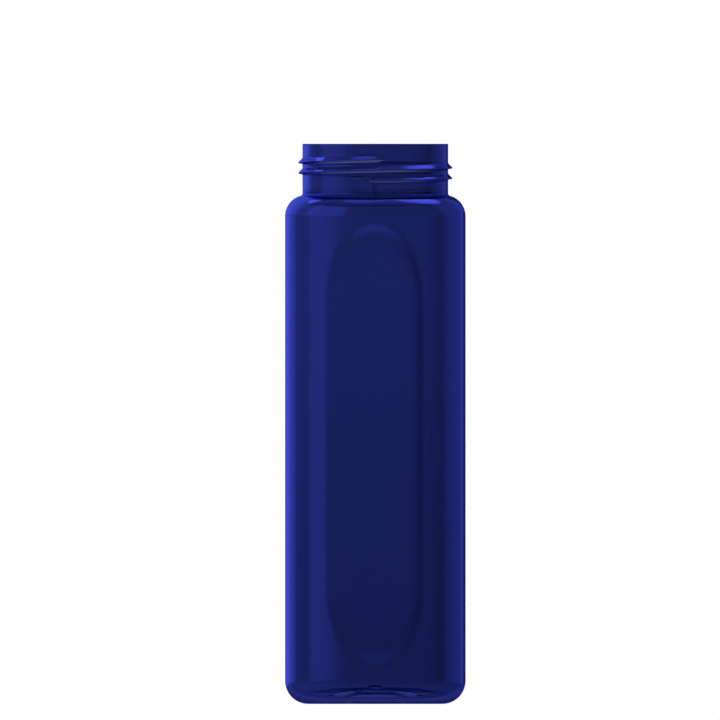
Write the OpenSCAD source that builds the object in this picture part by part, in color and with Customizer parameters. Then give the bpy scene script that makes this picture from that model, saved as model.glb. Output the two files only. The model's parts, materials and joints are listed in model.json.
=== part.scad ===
// Wide-mouth bottle, moulded in one piece from tinted clear plastic.
// +Z is up, the bottle stands on z = 0, its axis is the Z axis and its front is at -Y.

/* [Body] */
// Outer diameter of the round body
body_d = 73; // [70:0.5:80]
// Height from the standing face to the rim
bottle_h = 226.4; // [190:0.2:260]
// Radius of the rounded shoulder
shoulder_r = 8.6; // [6.5:0.1:9]
// Radius of the rounded heel
heel_r = 9.4; // [6:0.1:11]
// Wall thickness of the body and the shoulder
body_wall = 1.6; // [1.2:0.1:2]

/* [Neck] */
// Outer diameter of the neck, without its thread
neck_d = 58.9; // [57.9:0.1:60.5]
// Height of the neck above the shoulder
neck_h = 20.8; // [19:0.1:26]
// Wall thickness of the neck
neck_wall = 2.2; // [1.8:0.1:2.6]
// Rounding of the rim's two edges
rim_round = 0.4; // [0.2:0.05:0.6]
// Fillet where the neck meets the shoulder, outside
foot_fillet = 1; // [0.5:0.1:1.5]
// Flare where the bore opens into the body, inside
bore_flare = 4.5; // [3:0.1:5]

/* [Thread] */
// Diameter over the thread's crest
thread_d = 62.3; // [61.5:0.1:63]
// Height that one turn climbs
thread_pitch = 4.23; // [3.8:0.01:4.6]
// Full turns of the thread
thread_turns = 2; // [1:0.25:2]
// Depth of the thread's first crest below the rim
thread_start = 6.6; // [5:0.1:8]
// Width of the thread's flat crest
thread_crest = 0.4; // [0.2:0.05:0.6]
// Angle over which each end of the thread runs out
thread_runout = 6; // [4:1:20]

/* [Grip recess] */
// Width of the oval grip recess in the front
grip_w = 39.6; // [36:0.2:42]
// Height of the recess's lower tip above the standing face
grip_low = 15.1; // [13:0.1:20]
// Depth of the recess's upper tip below the rim
grip_high = 31.8; // [30.5:0.1:45]
// Height of the recess's rounded ends
grip_end = 32.1; // [24:0.1:40]
// Depth of the recess's flat floor below the front of the body
grip_depth = 4.8; // [4.4:0.1:5.4]
// Width of the slope along the recess's sides
grip_slope = 4; // [3.6:0.1:6.5]
// Height of the slope at the recess's upper tip
grip_slope_high = 5; // [4:0.1:9]
// Height of the slope at the recess's lower tip
grip_slope_low = 7; // [4:0.1:9]
// Wall thickness of the recess's floor
grip_wall = 1; // [0.8:0.1:1.6]

/* [Base] */
// Wall thickness of the base
base_wall = 2; // [1.5:0.1:2.4]
// Width of the flat ring that the bottle stands on
ring_w = 2.1; // [1:0.1:2.6]
// Height of the dome
dome_h = 1.2; // [0.8:0.1:2]
// Number of ribs pushed up into the base
rib_count = 5; // [3:1:6]
// Space between each rib's outer end and the standing ring
rib_inset = 1.8; // [1.4:0.1:5]
// Height of each rib's ridge at its outer end
rib_end_h = 1.8; // [1.4:0.1:2.4]
// Height of the ridges where they meet
rib_mid_h = 3.4; // [2.6:0.1:4]
// Width of each rib at the standing face
rib_foot_w = 26; // [20:0.2:28]
// Width of each rib's ridge
rib_ridge_w = 4; // [2:0.1:6]
// Run of each rib's sloped outer end
rib_end_run = 3; // [2:0.1:4]
// Diameter of the gate's well
gate_d = 5.6; // [4:0.1:6]
// Depth of the gate's well above the ridges
gate_h = 1; // [0.6:0.1:1.6]

/* [Hidden] */
$fn = 144;
PLASTIC = [0.09, 0.13, 0.55, 0.75];
ARC_STEPS = 16;
// The cavity is carried this far above the rim
RIM_OVER = 1;

body_r = body_d / 2;
neck_r = neck_d / 2;
bore_r = neck_r - neck_wall;
// The shoulder's arc is centred at shoulder_c
shoulder_x = body_r - shoulder_r;
shoulder_rise = sqrt(pow(shoulder_r, 2) - pow(max(neck_r - shoulder_x, 0), 2));
shoulder_z = bottle_h - neck_h - shoulder_rise;
shoulder_c = [shoulder_x, shoulder_z];
inner_shoulder_r = shoulder_r - body_wall;
inner_heel_r = heel_r - body_wall;
// The dome fills the standing ring, as part of a sphere that passes through the dome's top
dome_r = body_r - heel_r - ring_w;
dome_sphere_r = (pow(dome_r, 2) + pow(dome_h, 2)) / (2 * dome_h);

// The thread's flanks: the lower one is nearly flat, the upper one slopes at 45 degrees
THREAD_LOW_FLANK = 10;
THREAD_HIGH_FLANK = 45;
THREAD_STEPS = 60;
THREAD_BITE = 0.6;
thread_h = thread_d / 2 - neck_r;

// The recess's slope is carried past the wall and past its floor, so that both are cut cleanly
GRIP_STEPS = 32;
GRIP_OVERRUN = 0.2;
GRIP_CLEAR = 4;
grip_top = bottle_h - grip_high;

rib_reach = dome_r - rib_inset;
// A rib's cutter starts this far below the standing face
RIB_UNDER = 1;

// Points of an arc about c, from angle a to angle b, both ends included
function arc(c, r, a, b) =
    [for (i = [0:ARC_STEPS]) let (t = a + (b - a) * i / ARC_STEPS) c + r * [cos(t), sin(t)]];

// Centre of a fillet of radius f, beside a wall at radius x and against a shoulder arc of radius r
function foot_centre(x, r, f) =
    [x + f, shoulder_z + sqrt(pow(r + f, 2) - pow(x + f - shoulder_x, 2))];

// The angle at which that fillet touches the shoulder's arc
function foot_angle(x, r, f) =
    let (d = foot_centre(x, r, f) - shoulder_c) atan2(d[1], d[0]);

// The half profile from the heel up the wall, over the shoulder and into the neck's wall
function side_profile(wall_r, low, heel_arc, shoulder_arc, mouth_r, fillet) =
    let (foot = foot_angle(mouth_r, shoulder_arc, fillet))
    concat(
        arc([wall_r - heel_arc, low + heel_arc], heel_arc, -90, 0),
        arc(shoulder_c, shoulder_arc, 0, foot),
        arc(foot_centre(mouth_r, shoulder_arc, fillet), fillet, foot - 180, -180)
    );

// The dome as a half profile, thick mm above its underside, from the axis outwards
function dome_profile(thick) =
    let (edge = asin(dome_r / dome_sphere_r))
    arc([0, dome_h - dome_sphere_r], dome_sphere_r + thick, 90, 90 - edge);

outside_profile = concat(
    dome_profile(0),
    side_profile(body_r, 0, heel_r, shoulder_r, neck_r, foot_fillet),
    arc([neck_r - rim_round, bottle_h - rim_round], rim_round, 0, 90),
    [[0, bottle_h]]
);

cavity_profile = concat(
    dome_profile(base_wall),
    side_profile(body_r - body_wall, base_wall, inner_heel_r, inner_shoulder_r, bore_r, bore_flare),
    arc([bore_r + rim_round, bottle_h - rim_round], rim_round, 180, 90),
    [[bore_r + rim_round, bottle_h + RIM_OVER], [0, bottle_h + RIM_OVER]]
);

// One rib as a tent: its cross-section along the axis and its side view, crossed
module rib() {
    intersection() {
        rotate([90, 0, 90])
            linear_extrude(rib_reach)
                polygon([
                    [-rib_foot_w / 2, -RIB_UNDER],
                    [rib_foot_w / 2, -RIB_UNDER],
                    [rib_foot_w / 2, 0],
                    [rib_ridge_w / 2, rib_mid_h],
                    [-rib_ridge_w / 2, rib_mid_h],
                    [-rib_foot_w / 2, 0]
                ]);
        rotate([90, 0, 0])
            linear_extrude(rib_foot_w + 2 * RIB_UNDER, center = true)
                polygon([
                    [0, -RIB_UNDER],
                    [rib_reach, -RIB_UNDER],
                    [rib_reach, 0],
                    [rib_reach - rib_end_run, rib_end_h],
                    [0, rib_mid_h]
                ]);
    }
}

// All ribs and the gate's well, raised by lift; the first rib points to the front
module base_ribs(lift) {
    translate([0, 0, lift]) {
        for (i = [0:rib_count - 1])
            rotate([0, 0, 360 * i / rib_count - 90]) rib();
        translate([0, 0, -RIB_UNDER]) cylinder(d = gate_d, h = RIB_UNDER + rib_mid_h + gate_h);
    }
}

// The angles that go round an oval, with both ends of each straight side
grip_angles = [
    for (i = [0:GRIP_STEPS]) 180 * i / GRIP_STEPS,
    for (i = [0:GRIP_STEPS]) 180 + 180 * i / GRIP_STEPS
];

// Rounding errors in sin() mustn't move the straight sides' lower ends to the top
function grip_side(i) = i <= GRIP_STEPS ? 1 : -1;

function grip_oval(w, low, high) = [
    for (i = [0:len(grip_angles) - 1])
        let (s = abs(sin(grip_angles[i])) * grip_side(i))
        grip_side(i) > 0
            ? [w * cos(grip_angles[i]), grip_top - grip_end + (high - grip_top + grip_end) * s]
            : [w * cos(grip_angles[i]), grip_low + grip_end + (grip_low + grip_end - low) * s]
];

// The recess's outline on a round wall of radius wall_r
function grip_edge(wall_r) = [
    for (p = grip_oval(grip_w / 2, grip_low, grip_top))
        [p[0], -sqrt(pow(wall_r, 2) - pow(p[0], 2)), p[1]]
];

// The outline of the recess's floor, lift mm nearer to the axis than its outside
function grip_floor(lift) = [
    for (p = grip_oval(grip_w / 2 - grip_slope, grip_low + grip_slope_low, grip_top - grip_slope_high))
        [p[0], grip_depth + lift - body_r, p[1]]
];

// The solid that the recess takes out of a round wall of radius wall_r
module grip_recess(wall_r, lift) {
    edge = grip_edge(wall_r);
    floor_edge = grip_floor(lift);
    count = len(edge);
    over = [for (i = [0:count - 1]) edge[i] + (edge[i] - floor_edge[i]) * GRIP_OVERRUN];
    front = [for (p = over) [p[0], -body_r - GRIP_CLEAR, p[2]]];
    polyhedron(
        points = concat(front, over, floor_edge),
        faces = concat(
            [[for (i = [count - 1:-1:0]) i]],
            [for (k = [0:1], i = [0:count - 1])
                [k * count + i, (k + 1) * count + (i + 1) % count, (k + 1) * count + i]],
            [for (k = [0:1], i = [0:count - 1])
                [k * count + i, k * count + (i + 1) % count, (k + 1) * count + (i + 1) % count]],
            [[for (i = [0:count - 1]) 2 * count + i]]
        )
    );
}

// How far the thread stands out at a turn angle: it runs out at both ends
function thread_rise(a, sweep) =
    thread_h * min(1, max(0, min(a, sweep - a) / thread_runout));

// The thread's cross-section at a turn angle that grows downwards from its upper end
function thread_section(a, sweep) =
    let (rise = thread_rise(a, sweep))
    let (z = bottle_h - thread_start - thread_pitch * (a - thread_runout) / 360)
    let (turn = -90 + thread_runout - a)
    [
        for (p = [
            [-THREAD_BITE, -thread_crest / 2 - (rise + THREAD_BITE) * tan(THREAD_LOW_FLANK)],
            [rise, -thread_crest / 2],
            [rise, thread_crest / 2],
            [-THREAD_BITE, thread_crest / 2 + (rise + THREAD_BITE) * tan(THREAD_HIGH_FLANK)]
        ])
            [(neck_r + p[0]) * cos(turn), (neck_r + p[0]) * sin(turn), z + p[1]]
    ];

// The right-hand thread, swept round the neck
module thread() {
    sweep = 360 * thread_turns + 2 * thread_runout;
    steps = ceil(THREAD_STEPS * thread_turns);
    angles = [
        0,
        for (i = [0:steps]) thread_runout + 360 * thread_turns * i / steps,
        sweep
    ];
    count = len(angles);
    polyhedron(
        points = [for (a = angles) each thread_section(a, sweep)],
        faces = concat(
            [[0, 1, 2, 3]],
            [for (i = [0:count - 2], k = [0:3])
                [4 * i + k, 4 * i + 4 + k, 4 * i + (k + 1) % 4]],
            [for (i = [0:count - 2], k = [0:3])
                [4 * i + 4 + k, 4 * i + 4 + (k + 1) % 4, 4 * i + (k + 1) % 4]],
            [[4 * count - 1, 4 * count - 2, 4 * count - 3, 4 * count - 4]]
        )
    );
}

// The outside of the bottle as one solid
module outside() {
    difference() {
        rotate_extrude() polygon(outside_profile);
        grip_recess(body_r, 0);
        base_ribs(0);
    }
}

// The room inside the bottle, open through the neck
module cavity() {
    difference() {
        rotate_extrude() polygon(cavity_profile);
        grip_recess(body_r - body_wall, grip_wall);
        base_ribs(base_wall);
    }
}

module bottle() {
    color(PLASTIC)
        difference() {
            union() {
                outside();
                thread();
            }
            cavity();
        }
}

bottle();
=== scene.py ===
"""Looks of the wide-mouth bottle: one closed, smooth shell of tinted clear plastic in a plain studio."""

import json
from math import asin, atan2, cos, degrees, hypot, pi, radians, sin, sqrt, tan

import bmesh
import bpy
import numpy as np
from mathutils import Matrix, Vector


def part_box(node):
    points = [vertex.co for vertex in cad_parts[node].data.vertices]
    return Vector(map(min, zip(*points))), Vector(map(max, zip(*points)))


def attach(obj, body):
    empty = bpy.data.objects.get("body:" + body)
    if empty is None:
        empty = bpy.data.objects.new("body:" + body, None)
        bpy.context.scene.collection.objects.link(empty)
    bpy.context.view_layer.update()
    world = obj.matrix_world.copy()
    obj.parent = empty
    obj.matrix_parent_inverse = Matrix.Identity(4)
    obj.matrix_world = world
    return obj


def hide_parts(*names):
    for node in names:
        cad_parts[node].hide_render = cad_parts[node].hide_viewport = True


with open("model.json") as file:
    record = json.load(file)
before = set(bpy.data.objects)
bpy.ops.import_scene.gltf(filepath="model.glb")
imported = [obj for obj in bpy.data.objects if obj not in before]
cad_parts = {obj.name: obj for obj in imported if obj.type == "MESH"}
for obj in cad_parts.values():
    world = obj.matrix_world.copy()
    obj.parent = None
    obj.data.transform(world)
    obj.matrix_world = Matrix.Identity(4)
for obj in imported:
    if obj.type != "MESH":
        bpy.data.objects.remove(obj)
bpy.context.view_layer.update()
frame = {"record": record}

# ---------------------------------------------------------------- sizes, in millimetres
MM = 0.001
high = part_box("bottle")[1]
mounts = {m["name"]: m for m in frame["record"]["mounts"]}

body_r = high.x / MM
bottle_h = high.z / MM
bore_r = mounts["neck_bore"]["dims"]["r_mm"]
body_wall = 1.6
floor_wall = 1.0
neck_wall = 2.2
base_wall = 2.0

neck_h = 20.8
neck_r = bore_r + neck_wall
shoulder_r = 8.6
heel_r = 9.4
rim_round = 0.4
foot_fillet = 1.0
bore_flare = 4.5

shoulder_x = body_r - shoulder_r
shoulder_z = bottle_h - neck_h - sqrt(shoulder_r**2 - (neck_r - shoulder_x) ** 2)

# The thread starts at the front, and each of its ends runs out over thread_runout degrees
thread_h = 1.7
thread_pitch = 4.23
thread_turns = 2
thread_start = 6.6
thread_top = bottle_h - thread_start
thread_runout = 6.0
thread_crest = 0.4

# The flat-floored grip recess in the front
grip_half_w = 19.8
grip_low = 15.1
grip_high = 31.8
grip_top = bottle_h - grip_high
grip_end = 32.1
grip_depth = 4.8
grip_slope = 4.0
grip_slope_high = 5.0
grip_slope_low = 7.0

# The base: standing ring, dome, ribs and gate's well
ring_w = 2.1
dome_r = body_r - heel_r - ring_w
dome_h = 1.2
rib_count = 5
rib_inset = 1.8
rib_reach = dome_r - rib_inset
rib_end_h = 1.8
rib_mid_h = 3.4
rib_foot_w = 26.0
rib_ridge_w = 4.0
rib_end_run = 3.0
gate_r = 2.8
gate_h = 1.0

# ---------------------------------------------------------------- the mesh's columns
# A column's angle is counted in degrees from the front, -Y, towards the right, +X
COLUMN_STEP = 1.5
# The recess's patch of the wall reaches this far to each side of the front
PATCH_HALF = 39.0
# More columns beside the parting line
LINE_ANGLES = (-0.5, -0.25, 0.25, 0.5)


def column_angles():
    """One turn of column angles, with a few more beside the parting line at the front and back."""
    turn = list(np.arange(0, 360, COLUMN_STEP))
    turn += [(middle + a) % 360 for middle in (0, 180) for a in LINE_ANGLES]
    return np.array(sorted(turn))


columns = column_angles()
COUNT = len(columns)


def at(angle, r, z):
    """The points at column angles in degrees, a radius and a height."""
    t = np.radians(angle)
    return np.stack([r * np.sin(t), -r * np.cos(t), z + 0 * t], axis=-1)


class Shell:
    """Points and faces of the growing mesh."""

    def __init__(self):
        self.points = []
        self.faces = []

    def add(self, points):
        """Adds points and returns their numbers."""
        start = len(self.points)
        self.points.extend(np.asarray(points, float).reshape(-1, 3))
        return np.arange(start, len(self.points))

    def strip(self, a, b, closed=True):
        """Quads between two rows of equally many points."""
        n = len(a)
        for i in range(n if closed else n - 1):
            j = (i + 1) % n
            self.faces.append((a[i], a[j], b[j], b[i]))

    def rows(self, rows):
        """Strips between each closed row and the next."""
        for a, b in zip(rows, rows[1:]):
            self.strip(a, b)

    def fan(self, centre, ring):
        """Triangles from a middle point to a ring."""
        for i in range(len(ring)):
            self.faces.append((centre, ring[i], ring[(i + 1) % len(ring)]))


def arc(centre, r, a, b, steps):
    """Points of a half profile's arc from angle a to b in degrees, both ends included."""
    t = np.radians(np.linspace(a, b, steps + 1))
    return [(centre[0] + r * cos(x), centre[1] + r * sin(x)) for x in t]


def soft_min(values, k):
    """The smallest of the values, with its corners rounded over about k."""
    values = np.array(values)
    least = values.min(axis=0)
    return least - k * np.log(np.exp((least - values) / k).sum(axis=0))


def soft_max(values, k):
    """The largest of the values, with its corners rounded over about k."""
    return -soft_min([-v for v in values], k)


# ---------------------------------------------------------------- parting line
# The ridge's height, half its width as a column angle, and where it ends under the thread
LINE_H = 0.1
LINE_HALF = 0.5
LINE_TOP = 211.0
LINE_FADE = 1.5


def parting_line(angle, z):
    """How far the mould's parting line stands out of the neck and shoulder."""
    off = np.abs((np.asarray(angle) + 90) % 180 - 90)
    across = np.clip(1 - off / LINE_HALF, 0, 1)
    along = np.clip((LINE_TOP - z) / LINE_FADE, 0, 1) * np.clip((z - shoulder_z) / LINE_FADE, 0, 1) ** 2
    return LINE_H * across * along


# ---------------------------------------------------------------- base
RIB_ROUND = 0.02
BASE_ROUND = 0.02
# The gate's well rises over this run round its edge, and the ribs fade out over this one at the dome's edge
WELL_RUN = 0.8
BASE_FADE = 1.0


def rib_height(x, y, turn):
    """A rib's height over the standing face, as a tent that runs out along one direction."""
    t = radians(turn)
    along = x * sin(t) - y * cos(t)
    across = np.abs(x * cos(t) + y * sin(t))
    side_slope = rib_mid_h / ((rib_foot_w - rib_ridge_w) / 2)
    side = (rib_foot_w / 2 - across) * side_slope
    end = (rib_reach - along) * rib_end_h / rib_end_run
    top = rib_mid_h + (rib_end_h - rib_mid_h) * along / (rib_reach - rib_end_run)
    back = (along + rib_foot_w / 2) * side_slope
    return soft_min([side, end, top, back], RIB_ROUND)


def base_height(x, y):
    """The height of the base's underside: a dome, the ribs and the gate's well."""
    r = np.hypot(x, y)
    sphere = (dome_r**2 + dome_h**2) / (2 * dome_h)
    dome = np.sqrt(sphere**2 - np.minimum(r, dome_r) ** 2) - (sphere - dome_h)
    parts = [dome] + [rib_height(x, y, 360 * i / rib_count) for i in range(rib_count)]
    well = (rib_mid_h + gate_h) * np.clip((gate_r + WELL_RUN / 2 - r) / WELL_RUN, 0, 1)
    rise = soft_max(parts + [well], BASE_ROUND)
    # The rise eases out towards the standing ring
    edge = np.clip((dome_r - r) / BASE_FADE, 0, 1)
    return np.maximum(rise, 0) * edge * edge * (3 - 2 * edge)


def base_rings(shell, lift, outer_r, steps):
    """The base from its middle out to outer_r, lifted by the wall for the inside."""
    middle = shell.add([(0, 0, float(base_height(np.zeros(1), np.zeros(1))[0]) + lift)])[0]
    rings = []
    for r in np.linspace(0, outer_r, steps + 1)[1:]:
        p = at(columns, r, 0)
        p[:, 2] = base_height(p[:, 0], p[:, 1]) + lift
        rings.append(shell.add(p))
    shell.fan(middle, rings[0])
    shell.rows(rings)
    return rings[-1]


# ---------------------------------------------------------------- body with its grip recess
BODY_ROWS = 60
# How far the recess's edge is rounded and its slope runs out onto the floor, at its sides and at its ends
CREASE_SIDE = 0.9
CREASE_END = 1.5
TOE_SIDE = 1.8
TOE_END = 3.2
CREASE_STEPS = 5
SLOPE_STEPS = 4
TOE_STEPS = 7
WALL_STEPS = 4
# The patch's corners join the oval's ends at this angle from the tip
CORNER_ANGLE = 45

from_front = (columns + 180) % 360 - 180


def patch_columns():
    """The column numbers across the recess's patch, from its left edge to its right one."""
    chosen = np.where(np.abs(from_front) < PATCH_HALF + COLUMN_STEP / 4)[0]
    return chosen[np.argsort(from_front[chosen])]


def oval(angle, side, half_w, bottom, top):
    """A point of an oval with straight sides, by its end's angle in degrees and +1 for the upper end."""
    t = radians(angle)
    centre = grip_top - grip_end if side > 0 else grip_low + grip_end
    reach = top - centre if side > 0 else centre - bottom
    return np.array([half_w * cos(t), centre + side * reach * sin(t)])


def outline_spot(u, v, z, top_z, low_z):
    """Where a point of the patch's frame lands on the ovals, as (end angle, side, straight height).

    u runs from -1 to 1 across the patch. v is 1 on its top edge, -1 on its bottom one and 0 on its sides."""
    upper, lower = grip_top - grip_end, grip_low + grip_end
    if v:
        return 90 - CORNER_ANGLE * u, v, None
    angle, side, straight = 0, 1, z
    if z > upper:
        angle, side, straight = CORNER_ANGLE * (z - upper) / (top_z - upper), 1, None
    if z < lower:
        angle, side, straight = CORNER_ANGLE * (lower - z) / (lower - low_z), -1, None
    return (angle if u > 0 else 180 - angle), side, straight


def curve3(a, corner, b, steps):
    """Points of a curve from a to b that rounds the corner."""
    t = np.linspace(0, 1, steps + 1)[:, None]
    return (1 - t) ** 2 * a + 2 * t * (1 - t) * corner + t * t * b


def on_cylinder(x, z, r):
    """The point on the front of a round wall of radius r at a width and a height."""
    return np.array([x, -sqrt(r * r - x * x), z])


def recess_line(spot, r, floor_lift):
    """Points from the wall just outside the recess, over its edge and slope, to its floor."""
    angle, side, straight = spot
    t = radians(angle)
    share = sin(t) ** 2
    toe = TOE_SIDE + (TOE_END - TOE_SIDE) * share
    crease = CREASE_SIDE + (CREASE_END - CREASE_SIDE) * share
    edge_x, edge_z = oval(angle, side, grip_half_w, grip_low, grip_top)
    floor_low, floor_top = grip_low + grip_slope_low, grip_top - grip_slope_high
    floor_x, floor_z = oval(angle, side, grip_half_w - grip_slope, floor_low, floor_top)
    normal = np.array([cos(t) / grip_half_w, side * sin(t) / grip_end])
    if straight is not None:
        edge_z = floor_z = straight
        normal = np.array([cos(t), 0])
    normal /= np.linalg.norm(normal)
    edge = on_cylinder(edge_x, edge_z, r)
    floor = np.array([floor_x, -(body_r - grip_depth) + floor_lift, floor_z])
    slope = (edge - floor) / np.linalg.norm(edge - floor)
    outside = on_cylinder(edge[0] + crease * normal[0], edge[2] + crease * normal[1], r)
    inward = np.array([-normal[0], 0, -normal[1]])
    return np.concatenate([
        curve3(outside, edge, edge - slope * crease, CREASE_STEPS),
        np.linspace(edge - slope * crease, floor + slope * toe, SLOPE_STEPS + 1)[1:-1],
        curve3(floor + slope * toe, floor, floor + inward * toe, TOE_STEPS),
    ])


def recess_patch(shell, grid, heights, r, floor_lift):
    """Fills the recess's patch of the body's wall. grid holds the wall's rows of point numbers."""
    picked = patch_columns()
    across = from_front[picked]
    n, rows = len(picked), len(heights)
    border = [(grid[0][picked[i]], across[i], -1, heights[0]) for i in range(n)]
    border += [(grid[k][picked[-1]], across[-1], 0, heights[k]) for k in range(1, rows - 1)]
    border += [(grid[-1][picked[i]], across[i], 1, heights[-1]) for i in range(n - 1, -1, -1)]
    border += [(grid[k][picked[0]], across[0], 0, heights[k]) for k in range(rows - 2, 0, -1)]
    lines = []
    for _, angle, v, z in border:
        spot = outline_spot(angle / PATCH_HALF, v, z, heights[-1], heights[0])
        line = recess_line(spot, r, floor_lift)
        outer = degrees(asin(line[0][0] / r))
        wall = [
            at(angle + (outer - angle) * t, r, z + (line[0][2] - z) * t)
            for t in np.linspace(0, 1, WALL_STEPS + 1)[1:-1]
        ]
        lines.append(np.concatenate([wall, line]))
    rings = [np.array([b[0] for b in border])]
    for k in range(len(lines[0])):
        rings.append(shell.add([line[k] for line in lines]))
    shell.rows(rings)
    fill_floor(shell, rings[-1], n, rows)


def fill_floor(shell, ring, n, rows):
    """Joins the left and right halves of the floor's ring with rows of quads."""
    bottom, right = list(ring[:n]), list(ring[n:n + rows - 2])
    top, left = list(ring[n + rows - 2:2 * n + rows - 2])[::-1], list(ring[2 * n + rows - 2:])[::-1]
    points = np.array(shell.points)
    previous = bottom
    for a, b in zip(left, right):
        inner = [points[a] + (points[b] - points[a]) * t for t in np.linspace(0, 1, n)[1:-1]]
        row = [a, *shell.add(inner), b]
        shell.strip(previous, row, closed=False)
        previous = row
    shell.strip(previous, top, closed=False)


def body_wall_rows(shell, first, last, heights, r, floor_lift):
    """The round wall between two rings that are there already, with the recess in it."""
    picked = patch_columns()
    inside = {int(c) for c in picked[1:-1]}
    hidden = {int(c) for c in picked[:-1]}
    kept = [c for c in range(COUNT) if c not in inside]
    grid = [first]
    for z in heights[1:-1]:
        row = np.full(COUNT, -1)
        row[kept] = shell.add(at(columns[kept], r, z))
        grid.append(row)
    grid.append(last)
    recess_patch(shell, grid, heights, r, floor_lift)
    for a, b in zip(grid, grid[1:]):
        for i in range(COUNT):
            if i not in hidden:
                j = (i + 1) % COUNT
                shell.faces.append((a[i], a[j], b[j], b[i]))


# ---------------------------------------------------------------- neck thread
THREAD_ROOT_ROUND = 0.45
THREAD_CREST_ROUND = 0.16
THREAD_ROUND_STEPS = 3
# Plain wall that each turn's rows take in beyond the thread's flanks
THREAD_MARGIN = 0.9
THREAD_LOW_FLANK = 10
THREAD_HIGH_FLANK = 45
# Where the thread runs out, its rows close up towards this share of their height
THREAD_END_SHARE = 0.4
# The threaded stretch of the neck reaches this far past the first and last rows
THREAD_BELOW = 1.8
THREAD_ABOVE = 3.0
# Heights on the seam are the same point if they agree to this many digits
HEIGHT_DIGITS = 6


def thread_rows():
    """The thread's cross-section from top to bottom, as (height over the crest, share of the full rise)."""
    half = thread_crest / 2
    up = half + thread_h * tan(radians(THREAD_HIGH_FLANK))
    down = half + thread_h * tan(radians(THREAD_LOW_FLANK))
    corners = [np.array(p) for p in [
        (0, up + THREAD_MARGIN),
        (0, up),
        (thread_h, half),
        (thread_h, -half),
        (0, -down),
        (0, -down - THREAD_MARGIN),
    ]]
    rounds = [THREAD_ROOT_ROUND, THREAD_CREST_ROUND, THREAD_CREST_ROUND, THREAD_ROOT_ROUND]
    points = [corners[0]]
    for before, corner, after, d in zip(corners, corners[1:], corners[2:], rounds):
        start = corner + (before - corner) / np.linalg.norm(before - corner) * d
        end = corner + (after - corner) / np.linalg.norm(after - corner) * d
        points.extend(curve3(start, corner, end, THREAD_ROUND_STEPS))
    points.append(corners[-1])
    return [(p[1], p[0] / thread_h) for p in points]


def thread_group(turns):
    """Heights and radii down one column for one turn's rows, where turns counts from the thread's start."""
    t = 360 * turns
    last = 360 * thread_turns
    since_start = max((t + thread_runout) / thread_runout, 0)
    until_end = max((last + thread_runout - t) / thread_runout, 0)
    rise = min(since_start, 1, until_end)
    closed = THREAD_END_SHARE + (1 - THREAD_END_SHARE) * rise if 0 < rise < 1 else 1
    z = thread_top - thread_pitch * turns
    return [(z + dz * closed, neck_r + thread_h * share * rise) for dz, share in thread_rows()]


def thread_column(w):
    """One column's (height, radius) rows, w turns round from the seam at the back."""
    return [p for turns in (w - 0.5, w + 0.5, w + 1.5) for p in thread_group(turns)]


def thread_zone(shell, first, last):
    """The threaded stretch of the neck, between its lower and its upper ring.

    Its rows follow the thread round from a seam at the back, where each turn's rows meet the next one's."""
    start = int(np.argmin(np.abs(columns - 180)))
    order = [(start - k) % COUNT for k in range(COUNT)]
    made = [thread_column((180 - columns[c]) % 360 / 360) for c in order]
    seam_left = thread_column(1.0)
    ids = [shell.add([at(columns[c], r + parting_line(columns[c], z), z) for z, r in column])
           for c, column in zip(order[1:], made[1:])]
    spine = sorted({(round(z, HEIGHT_DIGITS), r) for z, r in made[0] + seam_left}, reverse=True)
    seam = shell.add([at(columns[start], r + parting_line(columns[start], z), z) for z, r in spine])
    number = {round(z, HEIGHT_DIGITS): i for (z, r), i in zip(spine, seam)}
    full = [int(last[start]), *seam, int(first[start])]

    def side(column_ids, ring_column, seam_rows, flip):
        """Faces between a column beside the seam and the seam, which holds both sides' points."""
        rows_a = [int(last[ring_column]), *column_ids, int(first[ring_column])]
        rows_b = [full[0], *[number[round(z, HEIGHT_DIGITS)] for z, r in seam_rows], full[-1]]
        for a0, a1, b0, b1 in zip(rows_a, rows_a[1:], rows_b, rows_b[1:]):
            i0, i1 = full.index(b0), full.index(b1)
            face = [a0, a1] + full[i0:i1 + 1][::-1]
            shell.faces.append(tuple(int(f) for f in (face[::-1] if flip else face)))

    side(ids[0], order[1], made[0], False)
    side(ids[-1], order[-1], seam_left, True)
    for k in range(len(ids) - 1):
        a = [last[order[k + 1]], *ids[k], first[order[k + 1]]]
        b = [last[order[k + 2]], *ids[k + 1], first[order[k + 2]]]
        shell.strip(a, b, closed=False)


# ---------------------------------------------------------------- the whole shell
HEEL_STEPS = 14
SHOULDER_STEPS = 14
FILLET_STEPS = 6
FLARE_STEPS = 8
RIM_STEPS = 5
BORE_ROWS = 4
BASE_STEPS = 52
INNER_BASE_STEPS = 44


def foot_centre(x, r, f):
    """The centre of a fillet beside a wall at radius x and against a shoulder arc of radius r."""
    return x + f, shoulder_z + sqrt((r + f) ** 2 - (x + f - shoulder_x) ** 2)


def lined_rings(shell, profile):
    """Rings of points round the axis, one for each point of a half profile, with the parting line."""
    return [shell.add(at(columns, r + parting_line(columns, z), z)) for r, z in profile]


def plain_rings(shell, profile):
    """The same without the parting line."""
    return [shell.add(at(columns, r, z)) for r, z in profile]


def neck_foot(x, r, f, arc_steps, fillet_steps):
    """The half profile over the shoulder's arc and through the fillet at the neck's foot."""
    centre = foot_centre(x, r, f)
    foot = degrees(atan2(centre[1] - shoulder_z, centre[0] - shoulder_x))
    return (
        arc((shoulder_x, shoulder_z), r, 0, foot, arc_steps)
        + arc(centre, f, foot - 180, -180, fillet_steps)[1:]
    )


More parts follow.
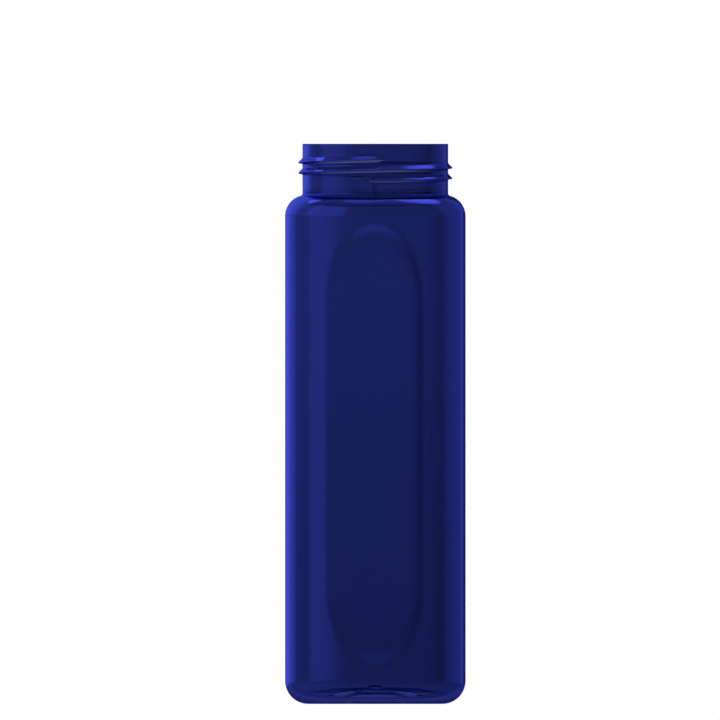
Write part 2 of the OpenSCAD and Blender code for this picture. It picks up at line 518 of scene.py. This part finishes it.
def bottle_mesh():
    """The whole bottle as one closed shell, outside and inside."""
    shell = Shell()
    # Outside, from the base's middle up to the rim
    base = base_rings(shell, 0, dome_r, BASE_STEPS)
    heel = plain_rings(shell, arc((body_r - heel_r, heel_r), heel_r, -90, 0, HEEL_STEPS))
    shell.rows([base, *heel])
    shoulder = lined_rings(shell, neck_foot(neck_r, shoulder_r, foot_fillet, SHOULDER_STEPS, FILLET_STEPS))
    heights = list(np.linspace(heel_r, shoulder_z, BODY_ROWS + 1))
    body_wall_rows(shell, heel[-1], shoulder[0], heights, body_r, 0)
    shell.rows(shoulder)
    z_low = thread_top - (thread_turns + 0.5) * thread_pitch - THREAD_BELOW
    z_high = thread_top + 0.5 * thread_pitch + THREAD_ABOVE
    below, above = lined_rings(shell, [(neck_r, z_low), (neck_r, z_high)])
    shell.strip(shoulder[-1], below)
    thread_zone(shell, below, above)
    rim_z = bottle_h - rim_round
    rim = plain_rings(
        shell,
        arc((neck_r - rim_round, rim_z), rim_round, 0, 90, RIM_STEPS)
        + arc((bore_r + rim_round, rim_z), rim_round, 90, 180, RIM_STEPS),
    )
    shell.rows([above, *rim])
    # Inside, from the rim down to the base's middle
    inner_heel = heel_r - body_wall
    foot = neck_foot(bore_r, shoulder_r - body_wall, bore_flare, SHOULDER_STEPS, FLARE_STEPS)[::-1]
    bore = plain_rings(shell, [(bore_r, z) for z in np.linspace(rim_z, foot[0][1], BORE_ROWS + 1)[1:-1]])
    flare = plain_rings(shell, foot)
    shell.rows([rim[-1], *bore, *flare])
    inner_r = body_r - body_wall
    inner_low = base_wall + inner_heel
    lower = plain_rings(shell, arc((inner_r - inner_heel, inner_low), inner_heel, -90, 0, HEEL_STEPS))
    heights = list(np.linspace(inner_low, shoulder_z, BODY_ROWS + 1))
    body_wall_rows(shell, lower[-1], flare[-1], heights, inner_r, floor_wall)
    shell.rows(lower)
    floor = base_rings(shell, base_wall, dome_r, INNER_BASE_STEPS)
    shell.strip(floor, lower[0])
    return shell


# Within this radius the base's folds stay crisp wherever they bend by more than this many degrees
CRISP_R = 24.0
CRISP_ANGLE = 9.0


def make_bottle():
    """The bottle's one piece."""
    shell = bottle_mesh()
    points = np.array(shell.points) * MM
    # The CAD model's back is a hair flatter, as its wall has a facet there
    points[:, 1] *= np.where(points[:, 1] > 0, high.y / high.x, 1)
    mesh = bpy.data.meshes.new("bottle_shell")
    mesh.from_pydata(points.tolist(), [], [tuple(int(i) for i in f) for f in shell.faces])
    bm = bmesh.new()
    bm.from_mesh(mesh)
    bmesh.ops.recalc_face_normals(bm, faces=bm.faces)
    for edge in bm.edges:
        reach = max(hypot(v.co.x, v.co.y) for v in edge.verts)
        if reach < CRISP_R * MM and edge.calc_face_angle() > radians(CRISP_ANGLE):
            edge.smooth = False
    for face in bm.faces:
        face.smooth = True
    bm.to_mesh(mesh)
    bm.free()
    piece = bpy.data.objects.new("bottle_shell", mesh)
    bpy.context.collection.objects.link(piece)
    return piece


# ---------------------------------------------------------------- materials, with lengths in millimetres
WHITE = (1, 1, 1, 1)
# The Mix node's sockets for colours
COLOUR_A = 6
COLOUR_B = 7
COLOUR_OUT = 2
PLASTIC_IOR = 1.5
# Colour left after each crossing of a face, darker at the foot and paler from TINT_TOP up
TINT_LOW = (0.278, 0.305, 0.492, 1)
TINT_HIGH = (0.309, 0.340, 0.549, 1)
TINT_TOP = 165.0
# The ribbed base's tint is paler inside this radius, most of all on the ribs between these heights: the
# plastic's tint with painted light, for the light that comes through the base
BASE_TINT_AND_PAINTED_LIGHT = (0.46, 0.52, 0.78, 1)
RIBS_TINT_AND_PAINTED_LIGHT = (0.63, 0.69, 0.89, 1)
PAINTED_LIGHT_R = 25.5
RIBS_FROM = 2.8
RIBS_TO = 8.5
# The heel's wall is a little paler than the body's
TINT_HEEL = (0.308, 0.338, 0.548, 1)
HEEL_TOP = 8.2
# Faint clouds shift the tint by this share of its change with height
CLOUD_SCALE = 40.0
CLOUD_SHARE = 0.03
# Fine darker lines of painted shade, as (place, share of the tint left): painted shade round the neck's foot
# by height, and painted shade beside the front parting line's ridge by distance to the right, between two
# heights
FOOT_PAINTED_SHADE = [
    (205.0, 1.0), (205.45, 1.0), (205.55, 0.72), (205.85, 0.72), (205.95, 1.0), (206.3, 1.0),
    (206.4, 0.7), (206.75, 0.7), (206.85, 1.0), (207.5, 1.0), (207.6, 0.72), (207.95, 0.72),
    (208.05, 1.0), (209.0, 1.0),
]
PARTING_PAINTED_SHADE = [
    (-1.6, 1.0), (-0.85, 1.0), (-0.65, 0.72), (-0.15, 0.68), (-0.05, 1.0), (0.28, 1.0), (0.38, 0.84),
    (0.62, 0.84), (0.72, 1.0), (1.6, 1.0),
]
PARTING_LOW = 202.2
PARTING_HIGH = 211.4
# The colour of what a face mirrors, from outside the plastic and from within it
MIRROR_TINT = (0.075, 0.11, 1.0, 1)
INNER_TINT = (0.2, 0.25, 0.6, 1)
GLOSS = 0.03


def node(tree, kind, **values):
    """A new node with its properties set."""
    made = tree.nodes.new(kind)
    for name, value in values.items():
        setattr(made, name, value)
    return made


def maths(tree, operation, *sources):
    """A Math node fed from outputs or plain numbers."""
    made = node(tree, "ShaderNodeMath", operation=operation)
    for into, source in zip(made.inputs, sources):
        if isinstance(source, (int, float)):
            into.default_value = source
        else:
            tree.links.new(source, into)
    return made.outputs[0]


def map_range(tree, value, a, b, smooth=False):
    """The value's place between a and b, from 0 to 1."""
    made = node(tree, "ShaderNodeMapRange", interpolation_type="SMOOTHSTEP" if smooth else "LINEAR")
    made.inputs["From Min"].default_value = a
    made.inputs["From Max"].default_value = b
    tree.links.new(value, made.inputs["Value"])
    return made.outputs[0]


def colour_mix(tree, share, first, second):
    """A mix of two colours, each an output or four numbers."""
    made = node(tree, "ShaderNodeMix", data_type="RGBA")
    tree.links.new(share, made.inputs["Factor"])
    for into, source in zip(made.inputs[COLOUR_A:COLOUR_B + 1], (first, second)):
        if isinstance(source, tuple):
            into.default_value = source
        else:
            tree.links.new(source, into)
    return made.outputs[COLOUR_OUT]


def tint(tree):
    """What each crossing of a face leaves, by height, with a base made paler by painted light, faint clouds
    and fine lines of painted shade.
    """
    place = node(tree, "ShaderNodeTexCoord").outputs["Object"]
    split = node(tree, "ShaderNodeSeparateXYZ")
    tree.links.new(place, split.inputs[0])
    right, back, up = split.outputs
    clouds = node(tree, "ShaderNodeTexNoise")
    clouds.inputs["Scale"].default_value = CLOUD_SCALE
    tree.links.new(place, clouds.inputs["Vector"])
    height = map_range(tree, up, 0.0, TINT_TOP * MM)
    drift = maths(tree, "MULTIPLY", maths(tree, "SUBTRACT", clouds.outputs[0], 0.5), CLOUD_SHARE)
    body = colour_mix(tree, maths(tree, "ADD", height, drift), TINT_LOW, TINT_HIGH)
    body = colour_mix(tree, maths(tree, "LESS_THAN", up, HEEL_TOP * MM), body, TINT_HEEL)
    across = maths(tree, "MULTIPLY", right, right)
    along = maths(tree, "MULTIPLY", back, back)
    radius = maths(tree, "SQRT", maths(tree, "ADD", across, along))
    # Painted light: inside the base's radius and below the ribs' top, the tint is paler, palest on the ribs
    within = maths(tree, "LESS_THAN", radius, PAINTED_LIGHT_R * MM)
    under = maths(tree, "LESS_THAN", up, RIBS_TO * MM)
    base = colour_mix(tree, maths(tree, "GREATER_THAN", up, RIBS_FROM * MM), BASE_TINT_AND_PAINTED_LIGHT, RIBS_TINT_AND_PAINTED_LIGHT)
    plain = colour_mix(tree, maths(tree, "MULTIPLY", within, under), body, base)
    return with_painted_shade_lines(tree, plain, right, back, up)


def ramp_of(tree, value, stops):
    """A grey ramp through (position, level) stops."""
    ramp = node(tree, "ShaderNodeValToRGB")
    elements = ramp.color_ramp.elements
    while len(elements) < len(stops):
        elements.new(0.5)
    for element, (position, level) in zip(elements, stops):
        element.position = position
        element.color = (level, level, level, 1)
    tree.links.new(value, ramp.inputs[0])
    return ramp.outputs[0]


def line_ramp(tree, place, lines):
    """The share of the tint left at a place in metres, from a list of places in millimetres."""
    first, last = lines[0][0], lines[-1][0]
    stops = [((spot - first) / (last - first), share) for spot, share in lines]
    return ramp_of(tree, map_range(tree, place, first * MM, last * MM), stops)


def with_painted_shade_lines(tree, plain, right, back, up):
    """The tint with the painted shade lines at the neck's foot and beside the front parting line."""
    # Painted shade: darker lines round the neck's foot and beside the parting line's ridge
    foot = line_ramp(tree, up, FOOT_PAINTED_SHADE)
    parting = line_ramp(tree, right, PARTING_PAINTED_SHADE)
    above = maths(tree, "GREATER_THAN", up, PARTING_LOW * MM)
    below = maths(tree, "LESS_THAN", up, PARTING_HIGH * MM)
    front = maths(tree, "LESS_THAN", back, 0.0)
    reach = maths(tree, "MULTIPLY", front, maths(tree, "MULTIPLY", above, below))
    parting = maths(tree, "ADD", maths(tree, "MULTIPLY", reach, maths(tree, "SUBTRACT", parting, 1.0)), 1.0)
    lined = node(tree, "ShaderNodeVectorMath", operation="SCALE")
    tree.links.new(plain, lined.inputs[0])
    tree.links.new(maths(tree, "MULTIPLY", foot, parting), lined.inputs["Scale"])
    return lined.outputs[0]


def mix_shaders(tree, share, first, second):
    """A mix of two shaders."""
    made = node(tree, "ShaderNodeMixShader")
    tree.links.new(share, made.inputs[0])
    tree.links.new(first, made.inputs[1])
    tree.links.new(second, made.inputs[2])
    return made.outputs[0]


def plastic_material():
    """Clear plastic, tinted through, that mirrors in its own blue by Fresnel."""
    material = bpy.data.materials.new("tinted_plastic")
    material.use_nodes = True
    tree = material.node_tree
    tree.nodes.clear()
    out = node(tree, "ShaderNodeOutputMaterial")
    through = node(tree, "ShaderNodeBsdfRefraction")
    tree.links.new(tint(tree), through.inputs["Color"])
    through.inputs["IOR"].default_value = PLASTIC_IOR
    through.inputs["Roughness"].default_value = 0.0
    within = node(tree, "ShaderNodeNewGeometry").outputs["Backfacing"]
    mirror = node(tree, "ShaderNodeBsdfAnisotropic")
    tree.links.new(colour_mix(tree, within, MIRROR_TINT, INNER_TINT), mirror.inputs["Color"])
    mirror.inputs["Roughness"].default_value = GLOSS
    fresnel = node(tree, "ShaderNodeFresnel")
    fresnel.inputs["IOR"].default_value = PLASTIC_IOR
    both = mix_shaders(tree, fresnel.outputs[0], through.outputs[0], mirror.outputs[0])
    tree.links.new(both, out.inputs["Surface"])
    return material


# ---------------------------------------------------------------- studio
# How bright the studio is level with the bottle, by the angle from the camera's side towards the right,
# first for what the bottle mirrors and then for what's seen through it
ROUND = [
    (-180, 1.0), (-175, 1.1), (-165, 1.3), (-150, 1.6), (-128, 1.5), (-122, 0.65), (-100, 0.65),
    (-96, 0.9), (-90, 1.9), (-84, 2.2), (-70, 2.3), (-62, 2.0), (-56, 1.6), (-50, 1.2), (-44, 0.8),
    (-36, 0.64), (0, 0.6), (60, 0.55), (73, 0.4), (80, 0.25), (90, 0.05), (96, 0.1), (105, 0.8),
    (122, 1.1), (135, 0.9), (142, 1.0), (148, 1.05), (153, 0.7), (157, 0.1), (168, 0.15), (174, 0.5),
    (180, 0.8),
]
ROUND_THROUGH = [
    (-180, 1.0), (-175, 1.0), (-165, 1.15), (-150, 1.45), (-128, 1.5), (-110, 1.2), (-90, 1.0),
    (0, 0.9), (90, 0.8), (135, 0.8), (143, 0.5), (150, 0.4), (156, 0.3), (168, 0.25), (172, 0.45),
    (176, 0.85), (180, 1.0),
]
# The same over the bottle and under it, by the angle from the camera's side upwards
OVER_THROUGH = [
    (-180, 1.0), (-132, 0.8), (-66, 0.9), (0, 0.8), (60, 0.7), (108, 0.6), (150, 0.4), (165, 1.0),
    (180, 1.0),
]
OVER = [
    (-180, 0.3), (-101, 0.3), (-95, 0.6), (-90, 1.6), (-80, 1.4), (-66, 0.9), (-50, 0.5), (-42, 0.35),
    (0, 0.4), (45, 0.4), (52, 0.6), (60, 0.7), (68, 0.9), (72, 1.4), (80, 1.4), (98, 0.8), (112, 1.6),
    (120, 0.3), (150, 0.1), (165, 0.8), (180, 1.0),
]
# What the bottle mirrors from over the horizon and from under it, by the same angle as the first list
HIGH = [
    (-180, 0.8), (-170, 1.2), (-150, 2.0), (-135, 2.2), (-125, 2.2), (-118, 1.2), (-104, 1.5),
    (-98, 3.2), (-50, 3.1), (-44, 2.5), (-38, 0.8), (-28, 0.4), (0, 0.33), (60, 0.35), (90, 0.35),
    (97, 0.4), (103, 1.2), (120, 1.1), (145, 0.95), (158, 0.9), (163, 0.2), (172, 0.1), (180, 0.6),
]
UNDER = [
    (-180, 0.3), (-150, 0.3), (-130, 0.5), (-110, 0.9), (-90, 1.0), (-60, 0.8), (-30, 0.4), (0, 0.35),
    (60, 0.4), (90, 0.4), (120, 0.5), (150, 0.5), (170, 0.2), (180, 0.3),
]
# The same for what's seen through the bottle
HIGH_THROUGH = [
    (-180, 0.5), (-150, 1.0), (-90, 0.9), (0, 0.9), (90, 0.8), (135, 0.7), (150, 0.5), (180, 0.5),
]
UNDER_THROUGH = [
    (-180, 0.85), (-172, 0.85), (-163, 0.95), (-120, 1.0), (-90, 1.2), (-60, 1.0), (0, 0.9), (90, 0.8),
    (135, 0.7), (150, 0.65), (165, 0.8), (180, 0.85),
]
# No level in these lists is over this
STUDIO_MOST = 4.0
# Soft round lamps: the turn and height of each one's middle, its bright core and its edge, all in degrees,
# and how much it adds to what the bottle mirrors
LAMPS = [
    (-130, 82, 12, 17, 3.2),
    (128, 58, 8, 22, 8.0),
    (-135, 43, 4, 8, 5.5),
    (110, 76, 5, 10, 1.5),
]
# Heights over and under the horizon, in degrees, between which the lists round the bottle give way to OVER
OVER_FROM = 40
OVER_TO = 50
# Heights over and under the horizon, in degrees, between which ROUND gives way to HIGH and UNDER
BAND = (2, 6)
BAND_THROUGH = (8, 22)


def level_ramp(tree, angle, levels):
    """A ramp of brightness over a full turn of an angle in radians, as shares of STUDIO_MOST."""
    stops = [((turn + 180) / 360, level / STUDIO_MOST) for turn, level in levels]
    return ramp_of(tree, map_range(tree, angle, -pi, pi), stops)


def studio_light(tree, direction, around, above, high, under, band, lamps):
    """The studio's brightness in a direction, from the lists of levels and the lamps."""
    split = node(tree, "ShaderNodeSeparateXYZ")
    tree.links.new(direction, split.inputs[0])
    right, back, up = split.outputs
    front = maths(tree, "MULTIPLY", back, -1)
    turn = maths(tree, "ARCTAN2", right, front)
    level = level_ramp(tree, turn, around)
    for levels, sign in ((high, 1), (under, -1)):
        rise = maths(tree, "MULTIPLY", up, sign)
        share = map_range(tree, rise, sin(radians(band[0])), sin(radians(band[1])), smooth=True)
        level = colour_mix(tree, share, level, level_ramp(tree, turn, levels))
    over = level_ramp(tree, maths(tree, "ARCTAN2", up, front), above)
    rise = maths(tree, "ABSOLUTE", up)
    share = map_range(tree, rise, sin(radians(OVER_FROM)), sin(radians(OVER_TO)), smooth=True)
    total = maths(tree, "MULTIPLY", colour_mix(tree, share, level, over), STUDIO_MOST)
    for turn, height, inner, outer, gain in lamps:
        t, h = radians(turn), radians(height)
        aim = node(tree, "ShaderNodeVectorMath", operation="DOT_PRODUCT")
        tree.links.new(direction, aim.inputs[0])
        aim.inputs[1].default_value = (sin(t) * cos(h), -cos(t) * cos(h), sin(h))
        near = map_range(tree, aim.outputs["Value"], cos(radians(outer)), cos(radians(inner)), smooth=True)
        total = maths(tree, "ADD", total, maths(tree, "MULTIPLY", near, gain))
    lit = node(tree, "ShaderNodeBackground")
    lit.inputs["Color"].default_value = WHITE
    tree.links.new(maths(tree, "MAXIMUM", total, 0.0), lit.inputs["Strength"])
    return lit.outputs[0]


def studio_world():
    """White where the camera looks past the bottle, and soft lights that the bottle mirrors and bends."""
    world = bpy.data.worlds.new("studio")
    bpy.context.scene.world = world
    world.use_nodes = True
    tree = world.node_tree
    tree.nodes.clear()
    direction = node(tree, "ShaderNodeTexCoord").outputs["Generated"]
    mirrored = studio_light(tree, direction, ROUND, OVER, HIGH, UNDER, BAND, LAMPS)
    through = studio_light(
        tree, direction, ROUND_THROUGH, OVER_THROUGH, HIGH_THROUGH, UNDER_THROUGH, BAND_THROUGH, []
    )
    white = node(tree, "ShaderNodeBackground")
    white.inputs["Color"].default_value = WHITE
    path = node(tree, "ShaderNodeLightPath")
    bent = mix_shaders(tree, path.outputs["Is Transmission Ray"], mirrored, through)
    seen = mix_shaders(tree, path.outputs["Is Camera Ray"], bent, white.outputs[0])
    out = node(tree, "ShaderNodeOutputWorld")
    tree.links.new(seen, out.inputs["Surface"])


# The floor reaches this many metres each way
FLOOR_HALF = 20.0
FLOOR_PAINT = (0.9, 0.9, 0.9, 1)
# The share of a plain white glow in what the camera sees of the floor
FLOOR_GLOW = 0.7


def make_floor():
    """A pale floor that keeps the bottle's shadow."""
    mesh = bpy.data.meshes.new("floor")
    corners = [(-1, -1), (1, -1), (1, 1), (-1, 1)]
    mesh.from_pydata([(x * FLOOR_HALF, y * FLOOR_HALF, 0) for x, y in corners], [], [(0, 1, 2, 3)])
    floor = bpy.data.objects.new("floor", mesh)
    bpy.context.collection.objects.link(floor)
    floor.visible_glossy = False
    floor.visible_transmission = False
    material = bpy.data.materials.new("pale_floor")
    material.use_nodes = True
    tree = material.node_tree
    tree.nodes.clear()
    paint = node(tree, "ShaderNodeBsdfDiffuse")
    paint.inputs["Color"].default_value = FLOOR_PAINT
    glow = node(tree, "ShaderNodeEmission")
    path = node(tree, "ShaderNodeLightPath")
    seen = maths(tree, "MAXIMUM", path.outputs["Is Camera Ray"], path.outputs["Is Transmission Ray"])
    mixed = mix_shaders(tree, maths(tree, "MULTIPLY", seen, FLOOR_GLOW), paint.outputs[0], glow.outputs[0])
    out = node(tree, "ShaderNodeOutputMaterial")
    tree.links.new(mixed, out.inputs["Surface"])
    mesh.materials.append(material)


# ---------------------------------------------------------------- camera
# The picture's width in pixels, a pixel's size in millimetres, and the pixels of the bottle's axis and foot
PIXELS = 720
PIXEL = 0.40414
AXIS_PIXEL = 375.3
FOOT_PIXEL = 703.97
# The camera's distance in metres
CAMERA_AWAY = 1.5


def make_camera():
    """A level camera without perspective, in front of the bottle."""
    data = bpy.data.cameras.new("camera")
    data.type = "ORTHO"
    data.ortho_scale = PIXELS * PIXEL * MM
    camera = bpy.data.objects.new("camera", data)
    bpy.context.collection.objects.link(camera)
    middle = PIXELS / 2
    camera.location = ((middle - AXIS_PIXEL) * PIXEL * MM, -CAMERA_AWAY, (FOOT_PIXEL - middle) * PIXEL * MM)
    camera.rotation_euler = (pi / 2, 0, 0)
    bpy.context.scene.camera = camera


bpy.context.scene.view_settings.view_transform = "Standard"
# Light crosses both walls, the base's ribs and the thread, so it's followed over many faces
BOUNCES = 20
cycles = bpy.context.scene.cycles
cycles.max_bounces = BOUNCES
cycles.glossy_bounces = BOUNCES
cycles.transmission_bounces = BOUNCES
make_camera()
studio_world()
make_floor()
bottle = make_bottle()
bottle.data.materials.append(plastic_material())
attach(bottle, "root")
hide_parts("bottle")
